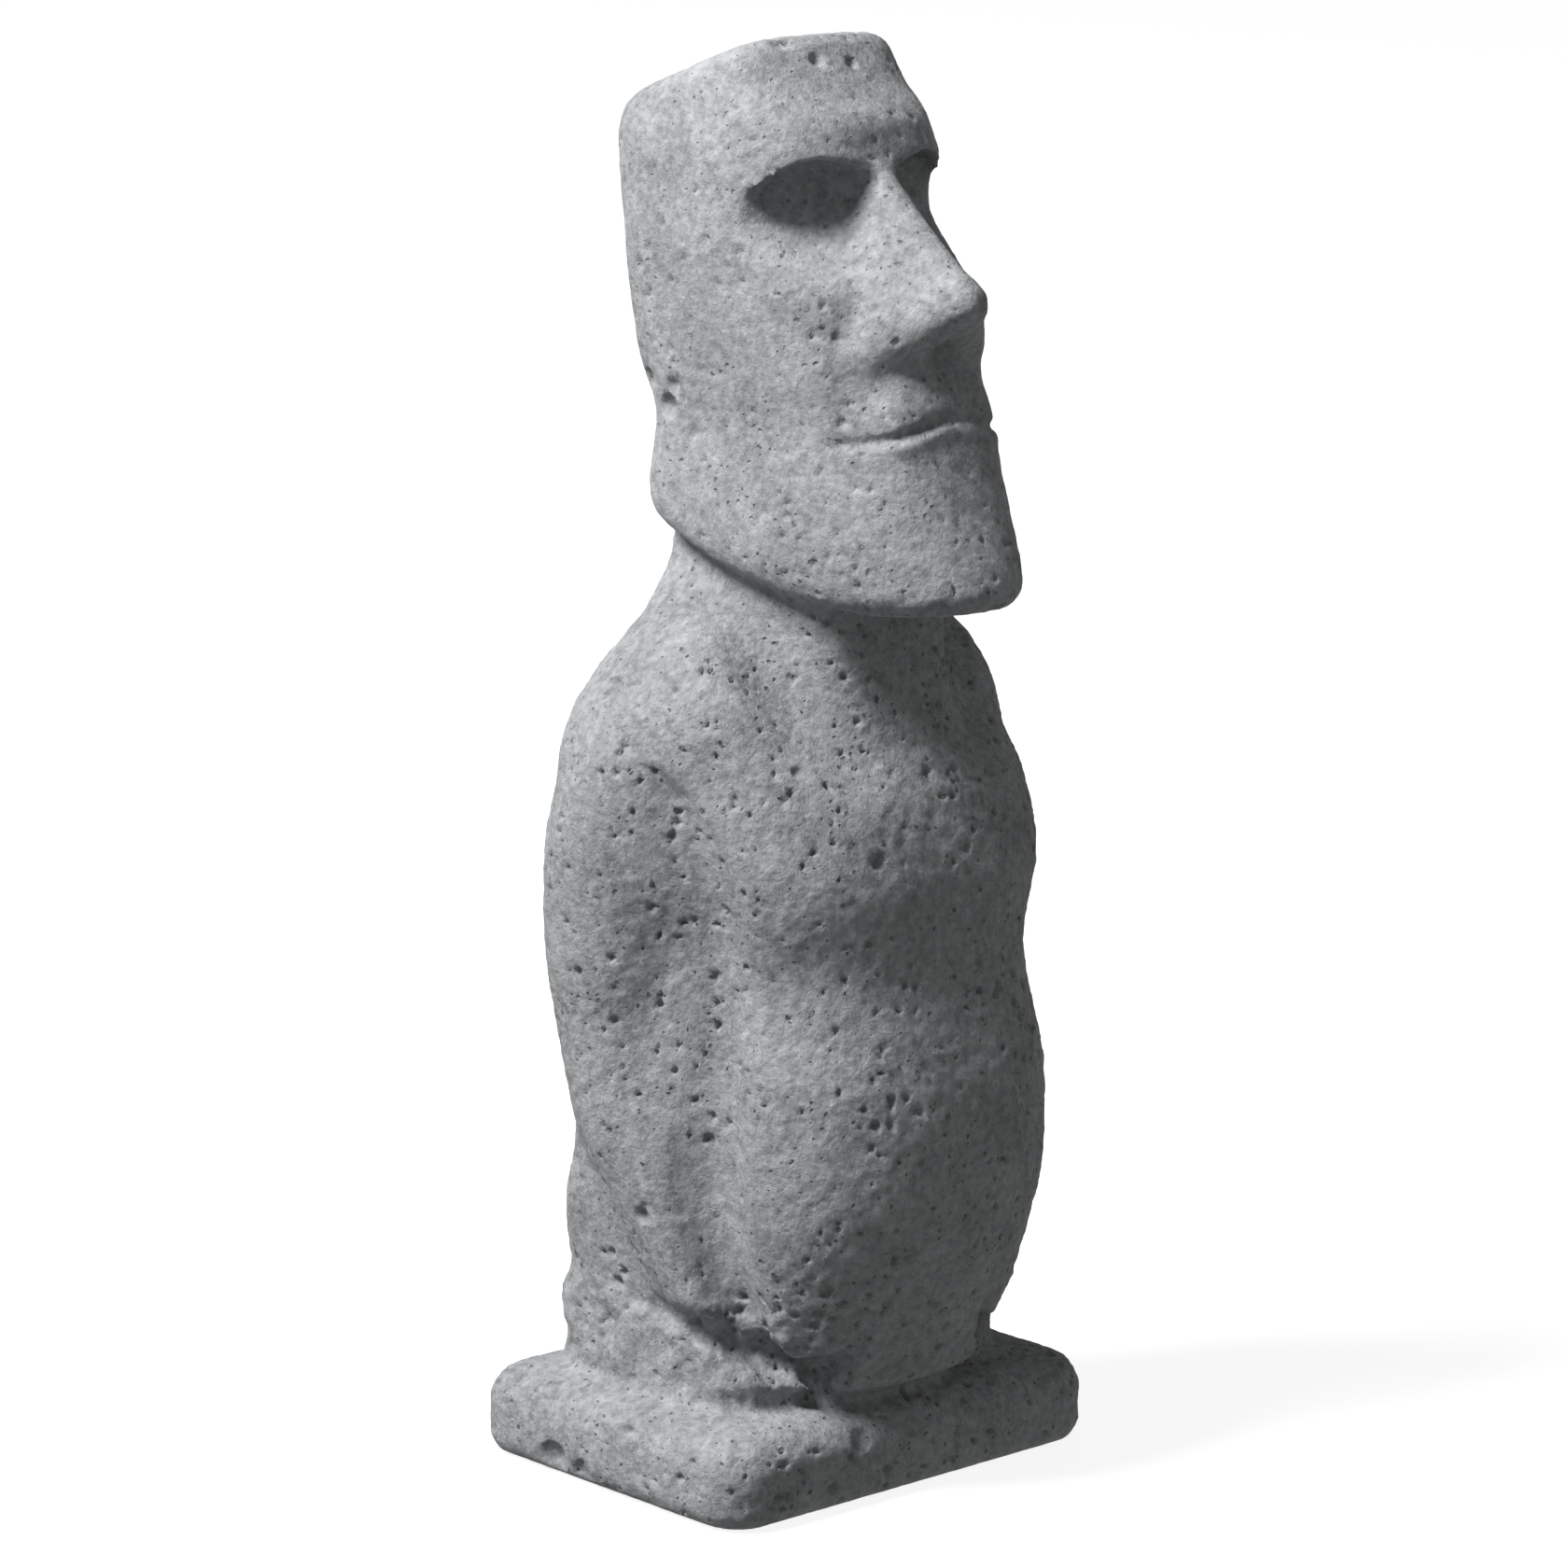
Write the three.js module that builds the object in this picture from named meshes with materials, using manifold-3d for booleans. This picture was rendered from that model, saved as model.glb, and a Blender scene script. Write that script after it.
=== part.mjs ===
// A moai ornament cast in one piece with its plinth: a long-faced figure with its arms at its
// sides, its hands low on the belly and a block under the belly between its feet. Millimetres.
// The origin is the middle of the plinth's underside, +Z is up, the face looks along -Y and the
// figure's own right hand is at -X.
import * as THREE from 'three';
import { mergeVertices } from 'three/addons/utils/BufferGeometryUtils.js';
import Module from 'manifold-3d';

const HEIGHT = 200;
const PLINTH_WIDTH = 73;
const PLINTH_DEPTH = 54;
const PLINTH_THICKNESS = 13.5;
const PLINTH_FALL = 2.8;
const PLINTH_FALL_WIDTH = 9;
const PLINTH_CORNER_RADIUS = 7;
const PLINTH_EDGE_RADIUS = 1.8;
const MOUTH_OPENING = 1;
const MOUTH_DEPTH = 1.2;
const CASTING_COLOUR = 0xa9abab;

// Steps of the skin: around the figure and up its height.
const COLUMNS = 68;
const BODY_ROWS = 26;
const JAW_ROWS = 4;
const HEAD_ROWS = 30;
const CROWN_ROWS = 5;

const { abs, atan, atan2, cos, exp, hypot, max, min, PI, sin } = Math;
const clamp = THREE.MathUtils.clamp;
const smoothstep = THREE.MathUtils.smoothstep;

// The figure is carved in steps of about a millimetre, x across, s toward the face and z up from
// the plinth, and scaled at the end so that the crown stands at the height given above.

// Sections up the torso: height, half width, reach to the front and to the back, and how square
// the section is in front.
const torsoSections = [
  [-6, 20.2, 22.6, 19, 3],
  [0.4, 20.4, 22.8, 19.6, 3],
  [2.4, 22.8, 25.8, 20, 3],
  [5, 23.4, 26.4, 20.4, 3],
  [10, 27.2, 28.2, 22.6, 2.9],
  [22, 30, 31.8, 23, 2.8],
  [32, 30.2, 34.2, 21, 2.8],
  [46, 30.2, 33.2, 20.9, 2.8],
  [61, 29.2, 29, 22, 2.7],
  [74, 31.6, 28, 22.8, 2.9],
  [84, 32, 25, 22.2, 2.7],
  [92, 30, 20.8, 20.6, 2.5],
  [100, 24.4, 16.4, 18.8, 2.3],
  [108, 17, 12, 17, 2.1],
  [122, 14, 11, 16, 2],
];

// Sections up the head without its nose: the same columns.
const headSections = [
  [102, 16.8, 31, 15, 2.3],
  [110.6, 18.2, 34, 15.8, 2.3],
  [114.6, 19, 34.8, 16.4, 2.3],
  [119.6, 19.5, 33.2, 17.2, 2.35],
  [126.6, 19, 29.9, 18.2, 2.5],
  [134.6, 18.1, 26.8, 18, 2.7],
  [141.6, 18.7, 24, 21.4, 2.9],
  [148.6, 19.1, 20.4, 23.6, 3],
  [158.6, 19.4, 15.8, 25.4, 3],
  [166.6, 19.2, 12.2, 27, 2.9],
  [172.6, 18.9, 10, 28, 2.8],
  [176.6, 18, 7.2, 28.2, 2.6],
  [182.6, 16.6, 2, 28.2, 2.5],
  [192, 15.6, -6, 28, 2.4],
];

// Sections up a hand, arm and shoulder: height, middle across and forward, and half width across
// and forward.
const armSections = [
  [9.6, 22.6, 10, 1.6, 1.6],
  [11.2, 22.8, 9.8, 5.2, 5.4],
  [13.6, 23.2, 9, 6.8, 7],
  [17.6, 23.8, 7.2, 7.4, 7.8],
  [26, 24.8, 2.6, 8.2, 8.8],
  [36, 26, -3.8, 9, 9.4],
  [48, 26.2, -7.4, 9.8, 9.8],
  [62, 26.6, -8.6, 11, 11],
  [75, 26, -8.2, 12.2, 12.2],
  [84, 25, -6.8, 12.4, 12.4],
  [92, 22, -5.4, 12.8, 12.8],
  [100, 17.8, -3.6, 12.6, 12.2],
  [108, 12.4, -2.8, 10.6, 10],
  [115, 7.2, -3.2, 8.4, 8.4],
  [124, 5, -3, 9, 9],
];

// The groove between the arm and the chest and belly: height, middle across and forward, radius.
const grooveLine = [
  [7.6, 23.6, 15.4, 0],
  [10.6, 24.2, 15.6, 1.6],
  [14.6, 25.6, 15, 2.6],
  [22, 28, 13.4, 3.4],
  [33, 29.2, 12, 3.8],
  [50, 29.8, 11.4, 4.2],
  [68, 30.8, 11.4, 4.2],
  [77, 32, 10, 3.6],
  [84, 33, 7, 2.4],
  [91, 34.6, 1, 0],
];

function sectionAt(table, z) {
  const last = table.length - 1;
  if (z <= table[0][0]) return table[0];
  if (z >= table[last][0]) return table[last];
  let i = 0;
  while (table[i + 1][0] < z) i += 1;
  const before = table[max(i - 1, 0)];
  const from = table[i];
  const to = table[i + 1];
  const after = table[min(i + 2, last)];
  const span = to[0] - from[0];
  const t = (z - from[0]) / span;
  return from.map((value, k) => {
    const slopeFrom = ((to[k] - before[k]) / (to[0] - before[0])) * span;
    const slopeTo = ((after[k] - from[k]) / (after[0] - from[0])) * span;
    const rise = to[k] - value;
    const a = slopeFrom - rise;
    const b = rise - slopeTo;
    return value + t * (rise + (1 - t) * (a * (1 - t) + b * t));
  });
}

// Two forms joined, what they have in common, or one cut by the other, with a blend of the given
// size between them.
function blendJoin(a, b, size) {
  const h = max(size - abs(a - b), 0) / size;
  return min(a, b) - h * h * size * 0.25;
}

function blendMeet(a, b, size) {
  return -blendJoin(-a, -b, size);
}

function blendCut(form, cutter, size) {
  return blendMeet(form, -cutter, size);
}

function ellipsoid(x, s, z, centre, radii) {
  const [rx, rs, rz] = radii;
  const dx = x - centre[0];
  const ds = s - centre[1];
  const dz = z - centre[2];
  const near = hypot(dx / rx, ds / rs, dz / rz);
  const far = hypot(dx / (rx * rx), ds / (rs * rs), dz / (rz * rz));
  return far > 1e-9 ? (near * (near - 1)) / far : -min(rx, rs, rz);
}

// A limb runs through points given with its radius there: x, s, z and radius.
function limb(x, s, z, points) {
  let form = Infinity;
  for (let i = 0; i + 1 < points.length; i += 1) {
    const from = points[i];
    const to = points[i + 1];
    const dx = to[0] - from[0];
    const ds = to[1] - from[1];
    const dz = to[2] - from[2];
    const along = (x - from[0]) * dx + (s - from[1]) * ds + (z - from[2]) * dz;
    const t = clamp(along / (dx * dx + ds * ds + dz * dz), 0, 1);
    const distance = hypot(x - from[0] - t * dx, s - from[1] - t * ds, z - from[2] - t * dz);
    form = min(form, distance - from[3] - (to[3] - from[3]) * t);
  }
  return form;
}

// A level section: squarer behind its widest place than in front of it.
function section(x, s, widest, halfWidth, front, back, frontPower, backPower) {
  const ahead = s > widest;
  const depth = ahead ? front - widest : back + widest;
  const power = ahead ? frontPower : backPower;
  const across = abs(x) / halfWidth;
  const along = abs(s - widest) / depth;
  const reach = (across ** power + along ** power) ** (1 / power);
  const blend = reach > 1e-6 ? (along / reach) ** 2 : 0;
  return (reach - 1) * (halfWidth * (1 - blend) + depth * blend);
}

function torso(x, s, z) {
  const [, halfWidth, front, back, power] = sectionAt(torsoSections, z);
  const form = section(x, s, -4, halfWidth, front, back, power, 4);
  return blendMeet(form, z - 121, 2);
}

// The throat is flat in front and stands out before the shoulders, which rise behind it.
function throat(x, s, z) {
  let form = section(x, s, 0, 14.8, 17.2, 10, 3.4, 2);
  form = blendMeet(form, z - 121, 2);
  return blendMeet(form, 84 - z, 8);
}

function arm(side, s, z) {
  const [, across, forward, halfWidth, halfDepth] = sectionAt(armSections, z);
  let form = section(side - across, s - forward, 0, halfWidth, halfDepth, halfDepth, 2, 2);
  form = blendMeet(form, 9.6 - z, 2);
  return blendMeet(form, z - 121, 2);
}

// The hollow under the jaw, between the throat and the shoulder.
function collarHollow(side, s, z) {
  return limb(side, s, z, [
    [19, -12, 117.6, 1.2], [19.2, -4, 114.6, 2], [18.8, 4, 111, 2.8], [18.4, 11, 104, 3.2],
    [16.6, 17, 97, 2], [13, 21.4, 92, 0.2],
  ]);
}

// The groove runs down between the arm and the chest and belly, to the hand.
function armGroove(side, s, z) {
  const [, across, forward, radius] = sectionAt(grooveLine, z);
  let form = hypot(side - across, s - forward) - radius;
  form = blendMeet(form, 7.6 - z, 2);
  return blendMeet(form, z - 91, 2);
}

// A foot is a wedge that gets lower toward the toes, with the heel as a lump behind it.
function foot(side, s, z) {
  const out = side - 19.8 + 0.06 * s;
  let form = section(out, s, 0, 9.4, 18.8, 8, 2.8, 6);
  const top = 12 - 0.0185 * max(s + 2, 0) ** 2;
  form = blendMeet(form, z - top, 1.6);
  let heel = section(side - 17, s + 10.6, 0, 11.6, 10, 11.4, 2.4, 2.6);
  heel = blendMeet(heel, z - 18, 8);
  form = blendJoin(form, heel, 2);
  return blendMeet(form, -4 - z, 1);
}

// The gap between the toes and the block.
function toeGap(side, s, z) {
  return limb(side, s, z, [[14.6, 20.6, -1, 2], [14.6, 20.4, 4, 1.9], [16.4, 18.4, 7, 1.5]]);
}

// The crease under the hand, and then where the belly hangs over the block between the feet.
function bellyCrease(side, s, z) {
  return limb(side, s, z, [
    [30.4, 6, 12.6, 0.4], [28, 11, 10.8, 1.2], [24.4, 14.8, 9.2, 1.5], [19.4, 17.2, 7, 1.9],
    [15.8, 20.8, 6.2, 1.8], [13.4, 24.8, 7.8, 1.1], [12, 27.8, 11.4, 0.2],
  ]);
}

// The mouth is a line that droops a little toward its corners.
function mouthHeight(x) {
  return 138.2 - 0.3 * (hypot(x, 3) - 3);
}

// The long head: brow and lips ride on its front, and its crown slopes down to the back.
const CROWN_SLOPE = 0.43;

function head(x, s, z) {
  const [, halfWidth, bareFront, back, power] = sectionAt(headSections, z);
  const middle = smoothstep(18 - abs(x), 0, 6);
  const mouth = mouthHeight(x);
  const upperLip = 0.3 * exp(-(((z - mouth - 2.2) / 2) ** 2));
  const lowerLip = 0.5 * exp(-(((z - mouth + 1.3) / 1.1) ** 2));
  const brow = 1.3 * exp(-(((z - 177) / 2.6) ** 2));
  const front = bareFront + middle * (upperLip + lowerLip) + brow;
  let form = section(x, s, -7, halfWidth, front, back, power, 4.6);
  const crown = (z - 188.5 - CROWN_SLOPE * (s + 2) + 0.0036 * x * x) * 0.918;
  form = blendMeet(form, crown, 3.4);
  const jawLine = 111.6 + 0.0059 * max(24 - s, 0) ** 2 + 0.05 * max(s - 24, 0);
  return blendMeet(form, jawLine - z, 4);
}

// An eye socket is a deep hollow under the edge of the brow that runs out on the cheek.
function socket(side, s, z) {
  const out = side - 9;
  const outer = max(out, 0);
  const forward = s + 0.5 * out - 0.3 * max(168 - z, -4);
  const hollow = ellipsoid(out, forward, z + 0.16 * outer, [0, 13.2, 167.4], [11.8, 9.8, 9.6]);
  const browEdge = 171.8 + 0.22 * min(out, 0) - 0.0066 * outer ** 3;
  return blendMeet(hollow, z - browEdge, 0.8);
}

function nose(x, s, z) {
  const side = abs(x);
  const ridge = limb(x, s, z, [[0, 6.4, 171.8, 2.2], [0, 14.9, 163.4, 2.6], [0, 26.4, 154.2, 2.9]]);
  const flank = limb(side, s, z, [[0, 6, 166.6, 2.4], [4, 16.4, 151.8, 6]]);
  const wing = limb(side, s, z, [[0.6, 25.4, 153.2, 3.2], [8, 16.8, 146.8, 4.7]]);
  let form = blendJoin(ridge, flank, 5);
  form = blendJoin(form, wing, 3);
  const under = (143.6 + 0.9 * (s - 19.5) - z) * 0.74;
  return blendMeet(form, under, 0.8);
}

// The soft fold from the wing of the nose past the corner of the mouth.
function cheekFold(side, s, z) {
  return limb(side, s, z, [[13, 19, 153, 1.4], [15.2, 22, 143, 3.4], [17.4, 23.4, 132, 1.6]]);
}

function figure(x, s, z) {
  const side = abs(x);
  let form = blendJoin(torso(x, s, z), arm(side, s, z), 4 + 7 * smoothstep(z, 82, 98));
  form = blendJoin(form, throat(x, s, z), 5);
  form = blendCut(form, collarHollow(side, s, z), 8);
  form = blendCut(form, armGroove(side, s, z), 5);
  form = blendCut(form, bellyCrease(side, s, z), 2.4);
  form = blendJoin(form, foot(side, s, z), 1);
  form = blendCut(form, toeGap(side, s, z), 0.8);
  form = blendJoin(form, head(x, s, z), 1.6);
  form = blendCut(form, cheekFold(side, s, z), 5);
  form = blendCut(form, socket(side, s, z), 1.2 + 3.6 * smoothstep(168 - z, 0, 6));
  return blendJoin(form, nose(x, s, z), 1.6);
}

function towardOutside(p) {
  const e = 0.05;
  const gx = figure(p[0] + e, p[1], p[2]) - figure(p[0] - e, p[1], p[2]);
  const gs = figure(p[0], p[1] + e, p[2]) - figure(p[0], p[1] - e, p[2]);
  const gz = figure(p[0], p[1], p[2] + e) - figure(p[0], p[1], p[2] - e);
  const size = hypot(gx, gs, gz) || 1;
  return [gx / size, gs / size, gz / size, size / (2 * e)];
}

// Slides a point along the form's slope until it lies on the skin.
function ontoSkin(p) {
  let q = p;
  for (let turn = 0; turn < 6; turn += 1) {
    const value = figure(q[0], q[1], q[2]);
    if (abs(value) < 0.01) break;
    const [nx, ns, nz, steepness] = towardOutside(q);
    const step = clamp(value / max(steepness, 0.4), -1.5, 1.5);
    q = [q[0] - nx * step, q[1] - ns * step, q[2] - nz * step];
  }
  return q;
}

// The first way out of the form from an inner point, around and up by the given angles.
function castOut(from, turn, lift) {
  const dx = sin(turn) * cos(lift);
  const ds = cos(turn) * cos(lift);
  const dz = sin(lift);
  const at = (reach) => [from[0] + dx * reach, from[1] + ds * reach, from[2] + dz * reach];
  let inside = 0;
  let outside = 3;
  while (outside < 70 && figure(...at(outside)) < 0) {
    inside = outside;
    outside += 1;
  }
  for (let k = 0; k < 20; k += 1) {
    const half = (inside + outside) / 2;
    if (figure(...at(half)) < 0) inside = half;
    else outside = half;
  }
  return at(inside);
}

function ring(castAt) {
  const row = [];
  for (let j = 0; j < COLUMNS; j += 1) row.push(castAt((j / COLUMNS) * 2 * PI));
  return row;
}

function mix(a, b, t) {
  return [a[0] + (b[0] - a[0]) * t, a[1] + (b[1] - a[1]) * t, a[2] + (b[2] - a[2]) * t];
}

// Rings of points from inside the plinth up to the crown: level up the body and closer together
// at the feet, tilted along the jaw and the crown, and closer together on the face than on the
// back of the head.
const SUNK = -4;
const THROAT = 106;
const JAW = 120;
const BROW = 183.2;
const CROWN_EDGE = 185.2;
const JAW_SLOPE = -0.16;
const CROWN_MIDDLE = [0, -9, 173];

function skinRings() {
  const rings = [];
  const bodyTurn = (t) => t + 0.12 * sin(2 * t);
  const faceTurn = (t) => t - 0.42 * sin(t);
  for (let i = 0; i <= BODY_ROWS; i += 1) {
    const z = SUNK + (THROAT - SUNK) * (i / BODY_ROWS) ** 1.3;
    const faceShare = smoothstep(z, 88, THROAT);
    rings.push(ring((t) => {
      const turn = bodyTurn(t) * (1 - faceShare) + faceTurn(t) * faceShare;
      return castOut([0, -3, z], turn, 0);
    }));
  }
  const throatRing = rings[BODY_ROWS];
  // Each ring of the head lies in a plane that tilts with the height.
  const tilted = (z, tilt) => ring((t) => {
    const turn = faceTurn(t);
    return castOut([0, -7, z], turn, atan(tilt * cos(turn)));
  });
  const jaw = tilted(JAW, JAW_SLOPE);
  for (let i = 1; i < JAW_ROWS; i += 1) {
    rings.push(throatRing.map((p, j) => ontoSkin(mix(p, jaw[j], i / JAW_ROWS))));
  }
  rings.push(jaw);
  for (let i = 1; i <= HEAD_ROWS; i += 1) {
    const t = i / HEAD_ROWS;
    rings.push(tilted(JAW + (BROW - JAW) * t, JAW_SLOPE * (1 - t) + CROWN_SLOPE * t ** 3));
  }
  const edge = tilted(CROWN_EDGE, CROWN_SLOPE);
  rings.push(edge);
  const crownMiddle = castOut(CROWN_MIDDLE, 0, PI / 2);
  for (let i = 1; i < CROWN_ROWS; i += 1) {
    rings.push(edge.map((p) => ontoSkin(mix(p, crownMiddle, (i + 0.2) / (CROWN_ROWS + 0.2)))));
  }
  return rings;
}

// Evens out the spacing of the rings while every point stays on the skin.
function relaxed(rings, passes) {
  let current = rings;
  for (let pass = 0; pass < passes; pass += 1) {
    const before = current;
    current = before.map((row, i) => row.map((p, j) => {
      if (i === 0 || i === before.length - 1) return p;
      const left = row[(j + COLUMNS - 1) % COLUMNS];
      const right = row[(j + 1) % COLUMNS];
      const across = mix(left, right, 0.5);
      const along = mix(before[i - 1][j], before[i + 1][j], 0.5);
      return ontoSkin(mix(p, mix(across, along, 0.5), 0.5));
    }));
  }
  return current;
}

const skin = relaxed(skinRings(), 3);
const carvedHeight = max(...skin.flat().map((p) => p[2]));
const share = (HEIGHT - PLINTH_THICKNESS) / carvedHeight;

// The closed skin: rings joined by triangles, a flat floor inside the plinth and a crown point.
function figureGeometry() {
  const positions = [];
  const place = (p) => positions.push(p[0] * share, -p[1] * share, PLINTH_THICKNESS + p[2] * share);
  skin.forEach((row) => row.forEach(place));
  const index = [];
  const at = (i, j) => i * COLUMNS + (j % COLUMNS);
  const point = (k) => new THREE.Vector3(...positions.slice(3 * k, 3 * k + 3));
  for (let i = 0; i + 1 < skin.length; i += 1) {
    for (let j = 0; j < COLUMNS; j += 1) {
      const a = at(i, j);
      const b = at(i, j + 1);
      const c = at(i + 1, j + 1);
      const d = at(i + 1, j);
      if (point(a).distanceTo(point(c)) < point(b).distanceTo(point(d))) {
        index.push(a, b, c, a, c, d);
      } else {
        index.push(a, b, d, b, c, d);
      }
    }
  }
  const floor = positions.length / 3;
  place([0, 0, skin[0][0][2]]);
  const crown = floor + 1;
  place(castOut(CROWN_MIDDLE, 0, PI / 2));
  for (let j = 0; j < COLUMNS; j += 1) {
    index.push(floor, at(0, j + 1), at(0, j));
    index.push(crown, at(skin.length - 1, j), at(skin.length - 1, j + 1));
  }
  const geometry = new THREE.BufferGeometry();
  geometry.setAttribute('position', new THREE.Float32BufferAttribute(positions, 3));
  geometry.setIndex(index);
  return geometry;
}

// The plinth's top falls a little toward its rim.
function plinthTop(inset) {
  return PLINTH_THICKNESS - PLINTH_FALL * max(1 - inset / PLINTH_FALL_WIDTH, 0) ** 2;
}

// The plinth's profile from the underside over its edge to the level middle: inset and height.
function plinthProfile() {
  const STEPS = 3;
  const profile = [];
  const radius = PLINTH_EDGE_RADIUS;
  for (let k = 0; k <= STEPS; k += 1) {
    const a = (k / STEPS) * (PI / 2);
    profile.push([radius * (1 - sin(a)), radius * (1 - cos(a))]);
  }
  for (let k = 0; k <= STEPS; k += 1) {
    const a = (k / STEPS) * (PI / 2);
    const inset = radius * (1 - cos(a));
    profile.push([inset, plinthTop(inset) - radius * (1 - sin(a))]);
  }
  for (let k = 1; k <= STEPS; k += 1) {
    const inset = radius + (PLINTH_FALL_WIDTH - radius) * (k / STEPS);
    profile.push([inset, plinthTop(inset)]);
  }
  return profile;
}

// The plinth's outline, set in by a distance, as points that go around its four round corners.
function plinthOutline(inset) {
  const STEPS = 5;
  const radius = max(PLINTH_CORNER_RADIUS - inset, 0.5);
  const halfWidth = PLINTH_WIDTH / 2 - inset - radius;
  const halfDepth = PLINTH_DEPTH / 2 - inset - radius;
  const outline = [];
  [[1, 1], [-1, 1], [-1, -1], [1, -1]].forEach(([sideX, sideY], corner) => {
    for (let k = 0; k <= STEPS; k += 1) {
      const a = (corner + k / STEPS) * (PI / 2);
      outline.push([sideX * halfWidth + radius * cos(a), sideY * halfDepth + radius * sin(a)]);
    }
  });
  return outline;
}

function plinthGeometry() {
  const positions = [];
  const index = [];
  const profile = plinthProfile();
  const around = plinthOutline(0).length;
  for (const [inset, z] of profile) {
    for (const [x, y] of plinthOutline(inset)) positions.push(x, y, z);
  }
  positions.push(0, 0, 0, 0, 0, PLINTH_THICKNESS);
  const underside = profile.length * around;
  const top = underside + 1;
  const at = (i, j) => i * around + (j % around);
  for (let j = 0; j < around; j += 1) {
    for (let i = 0; i + 1 < profile.length; i += 1) {
      index.push(at(i, j), at(i, j + 1), at(i + 1, j + 1));
      index.push(at(i, j), at(i + 1, j + 1), at(i + 1, j));
    }
    index.push(underside, at(0, j + 1), at(0, j));
    index.push(top, at(profile.length - 1, j), at(profile.length - 1, j + 1));
  }
  const geometry = new THREE.BufferGeometry();
  geometry.setAttribute('position', new THREE.Float32BufferAttribute(positions, 3));
  geometry.setIndex(index);
  return geometry;
}

const wasm = await Module();
wasm.setup();

function toSolid(geometry) {
  const bare = geometry.clone();
  bare.deleteAttribute('normal');
  bare.deleteAttribute('uv');
  const merged = mergeVertices(bare, 1e-4);
  return new wasm.Manifold(new wasm.Mesh({
    numProp: 3,
    vertProperties: new Float32Array(merged.attributes.position.array),
    triVerts: new Uint32Array(merged.index.array),
  }));
}

function toGeometry(solid) {
  const mesh = solid.getMesh();
  const geometry = new THREE.BufferGeometry();
  geometry.setAttribute('position', new THREE.BufferAttribute(mesh.vertProperties, 3));
  geometry.setIndex(new THREE.BufferAttribute(mesh.triVerts, 1));
  geometry.computeVertexNormals();
  return geometry;
}

// The line of the mouth is a groove cut along the front of the face.
function mouthGeometry() {
  const points = [];
  for (let x = -14; x <= 14; x += 2) {
    const turn = atan2(x, 24);
    const [px, ps] = castOut([0, 0, mouthHeight(x)], turn, 0);
    points.push(new THREE.Vector3(
      px * share,
      -(ps + 0.1) * share,
      PLINTH_THICKNESS + mouthHeight(x) * share,
    ));
  }
  const outline = new THREE.Shape();
  outline.moveTo(-MOUTH_DEPTH, 0);
  outline.lineTo(0, -MOUTH_OPENING / 2);
  outline.lineTo(MOUTH_DEPTH, 0);
  outline.lineTo(0, MOUTH_OPENING / 2);
  return new THREE.ExtrudeGeometry(outline, {
    steps: 14,
    extrudePath: new THREE.CatmullRomCurve3(points),
  });
}

const cast = toSolid(figureGeometry())
  .subtract(toSolid(mouthGeometry()))
  .add(toSolid(plinthGeometry()));
const casting = new THREE.MeshStandardMaterial({
  color: CASTING_COLOUR,
  roughness: 0.92,
  metalness: 0,
});
const statue = new THREE.Mesh(toGeometry(cast), casting);
statue.name = 'statue';

const group = new THREE.Group();
group.add(statue);
export default group;
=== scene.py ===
import math

import bpy
import numpy as np
from mathutils import Matrix, Vector


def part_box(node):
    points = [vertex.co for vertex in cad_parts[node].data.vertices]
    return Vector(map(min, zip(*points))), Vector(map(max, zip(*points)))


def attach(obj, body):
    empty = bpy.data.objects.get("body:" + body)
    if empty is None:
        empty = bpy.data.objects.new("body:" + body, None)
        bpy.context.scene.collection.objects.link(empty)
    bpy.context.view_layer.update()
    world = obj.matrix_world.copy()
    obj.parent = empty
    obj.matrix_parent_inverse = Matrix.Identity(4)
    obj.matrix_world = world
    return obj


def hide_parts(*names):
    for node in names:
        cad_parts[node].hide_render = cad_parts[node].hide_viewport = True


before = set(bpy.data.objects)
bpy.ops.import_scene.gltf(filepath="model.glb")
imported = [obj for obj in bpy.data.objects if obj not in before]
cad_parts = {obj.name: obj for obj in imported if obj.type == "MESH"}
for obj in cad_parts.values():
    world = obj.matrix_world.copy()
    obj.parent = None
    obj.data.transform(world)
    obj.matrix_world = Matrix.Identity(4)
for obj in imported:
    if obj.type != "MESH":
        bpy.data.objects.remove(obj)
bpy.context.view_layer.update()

# The casting: figure and plinth come out of one mould as one block of concrete, with no joint.
# Its form is carved here as a field, negative inside, that gives about the distance to the skin,
# and a net of faces is then drawn over the skin. The plinth is written in millimetres.
PLINTH_WIDTH = 73
PLINTH_DEPTH = 54
PLINTH_THICKNESS = 13.5
PLINTH_FALL = 2.8
PLINTH_FALL_WIDTH = 9
PLINTH_CORNER_RADIUS = 7
PLINTH_EDGE_RADIUS = 1.8
PLINTH_FILLET = 0.8
METRES = 0.001
cad_low, cad_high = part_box("statue")
height = (cad_high.z - cad_low.z) / METRES

# The figure is written in steps of about a millimetre: x across, s toward the face and z up from
# the plinth. Its sides are alike, and side is how far a place is from the middle.
# Sections up the torso: height, half width, reach to the front and to the back, and how square
# the section is in front.
torso_sections = np.array([
    [-6, 20.2, 22.6, 19, 3],
    [0.4, 20.4, 22.8, 19.6, 3],
    [2.4, 22.8, 25.8, 20, 3],
    [5, 23.4, 26.4, 20.4, 3],
    [10, 27.2, 28.2, 22.6, 2.9],
    [22, 30, 31.8, 23, 2.8],
    [32, 30.2, 34.2, 21, 2.8],
    [46, 30.2, 33.2, 20.9, 2.8],
    [61, 29.2, 29, 22, 2.7],
    [74, 31.6, 28, 22.8, 2.9],
    [84, 32, 25, 22.2, 2.7],
    [92, 30, 20.8, 20.6, 2.5],
    [100, 24.4, 16.4, 18.8, 2.3],
    [108, 17, 12, 17, 2.1],
    [122, 14, 11, 16, 2],
])

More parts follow.
